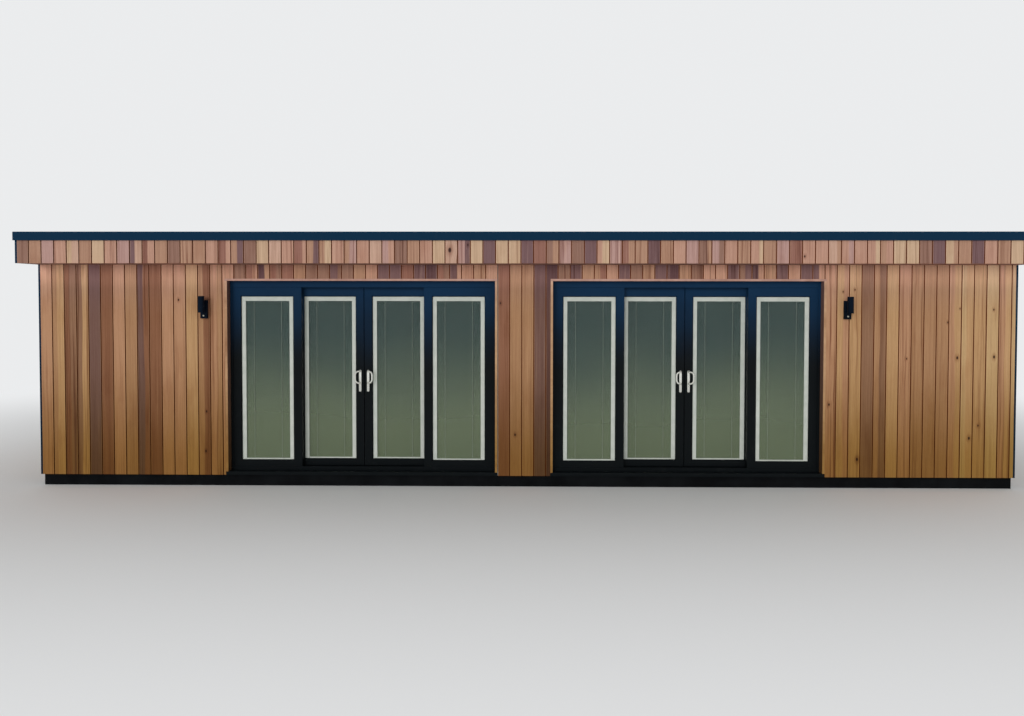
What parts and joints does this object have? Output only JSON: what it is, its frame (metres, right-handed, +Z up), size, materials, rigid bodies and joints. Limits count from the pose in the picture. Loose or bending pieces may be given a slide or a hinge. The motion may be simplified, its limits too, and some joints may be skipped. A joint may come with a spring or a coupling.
{
  "type": "garden office pod",
  "caption": "Flat-roofed garden office clad in upright cedar boards, with a front roof overhang and glazed sliding patio doors.",
  "frame": {"origin": "middle of the whole building in plan, at its lowest ground level", "axes": "+X to the right along the front, +Y to the back, +Z up; the doors face -Y"},
  "size_m": [10.028, 3.906, 2.59],
  "materials": {
    "base_timber": "black treated timber",
    "floor": "laid floor boards, satin",
    "wall_lining": "painted wall panel",
    "cedar": "oiled cedar, colours mixed",
    "roof_timber": "rough structural board",
    "membrane": "dull roofing membrane",
    "roof_trim": "dark grey powder coat",
    "rainwater": "black gloss",
    "light_black": "black powder coat",
    "door_frame": "dark grey satin",
    "glass": "clear float glass",
    "blind": "pale cream paint",
    "handle_metal": "satin chrome"
  },
  "bodies": {
    "building": {"base_beams_long": "base_timber", "base_beams_cross": "base_timber", "floor_panel": "floor", "front_wall_left": "wall_lining", "front_wall_right": "wall_lining", "front_wall_pier": "wall_lining", "front_beam": "wall_lining", "left_wall": "wall_lining", "right_wall": "wall_lining", "rear_wall": "wall_lining", "ceiling": "wall_lining", "front_cladding_left": "cedar", "front_cladding_right": "cedar", "front_cladding_pier": "cedar", "front_cladding_over_doors": "cedar", "left_cladding": "cedar", "right_cladding": "cedar", "rear_cladding": "cedar", "fascia": "cedar", "fascia_cheeks": "cedar", "soffit": "cedar", "reveals": "cedar", "roof_panel": "roof_timber", "roof_membrane": "membrane", "roof_trim_front": "roof_trim", "roof_trim_sides": "roof_trim", "roof_trim_rear": "roof_trim", "corner_profiles": "roof_trim", "gutter": "rainwater", "gutter_brackets": "rainwater", "downpipe": "rainwater", "wall_lights": "light_black", "cills": "door_frame", "door_heads": "door_frame", "door_jambs": "door_frame", "door_tracks": "door_frame", "fixed_sashes": "door_frame", "fixed_glass": "glass", "fixed_blinds": "blind"},
    "door_1": {"door_1_sash": "door_frame", "door_1_glass": "glass", "door_1_blind": "blind", "door_1_handle": "handle_metal"},
    "door_2": {"door_2_sash": "door_frame", "door_2_glass": "glass", "door_2_blind": "blind", "door_2_handle": "handle_metal"},
    "door_3": {"door_3_sash": "door_frame", "door_3_glass": "glass", "door_3_blind": "blind", "door_3_handle": "handle_metal"},
    "door_4": {"door_4_sash": "door_frame", "door_4_glass": "glass", "door_4_blind": "blind", "door_4_handle": "handle_metal"}
  },
  "joints": [
    {"name": "door_1_slide", "type": "slide", "parent": "building", "child": "door_1", "axis": [-1, 0, 0], "range_m": [0, 0.53]},
    {"name": "door_2_slide", "type": "slide", "parent": "building", "child": "door_2", "axis": [1, 0, 0], "range_m": [0, 0.53]},
    {"name": "door_3_slide", "type": "slide", "parent": "building", "child": "door_3", "axis": [-1, 0, 0], "range_m": [0, 0.53]},
    {"name": "door_4_slide", "type": "slide", "parent": "building", "child": "door_4", "axis": [1, 0, 0], "range_m": [0, 0.53]}
  ]
}
